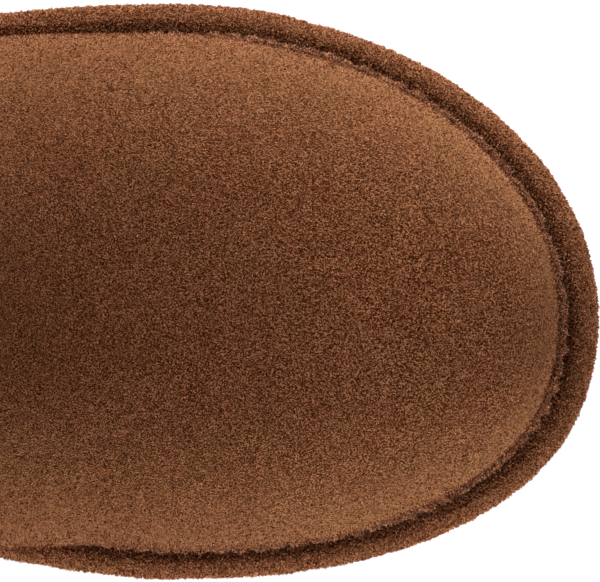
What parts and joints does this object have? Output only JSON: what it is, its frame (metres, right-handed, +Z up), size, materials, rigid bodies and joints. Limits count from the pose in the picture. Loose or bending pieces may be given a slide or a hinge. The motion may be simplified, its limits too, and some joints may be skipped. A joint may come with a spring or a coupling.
{
  "type": "sheepskin boot",
  "caption": "Short pull-on sheepskin boot with a fleece-lined shaft, round toe, heel counter, turned-out seam edge and a low suede-wrapped midsole.",
  "frame": {"origin": "on the ground, under the middle of the boot's length and width", "axes": "+Y towards the toe, +X towards the inner side of the foot, +Z up"},
  "size_m": [0.108, 0.2682, 0.222],
  "materials": {
    "suede": "napped sheepskin suede",
    "suede_edge": "raw cut edge of the hide",
    "fleece": "trimmed curly fleece",
    "rubber": "matt foamed rubber"
  },
  "bodies": {
    "root": {"outsole": "rubber", "midsole": "suede", "insole": "fleece", "seam_lip": "suede_edge", "upper": "suede", "heel_counter": "suede", "back_stay": "suede"}
  },
  "joints": []
}
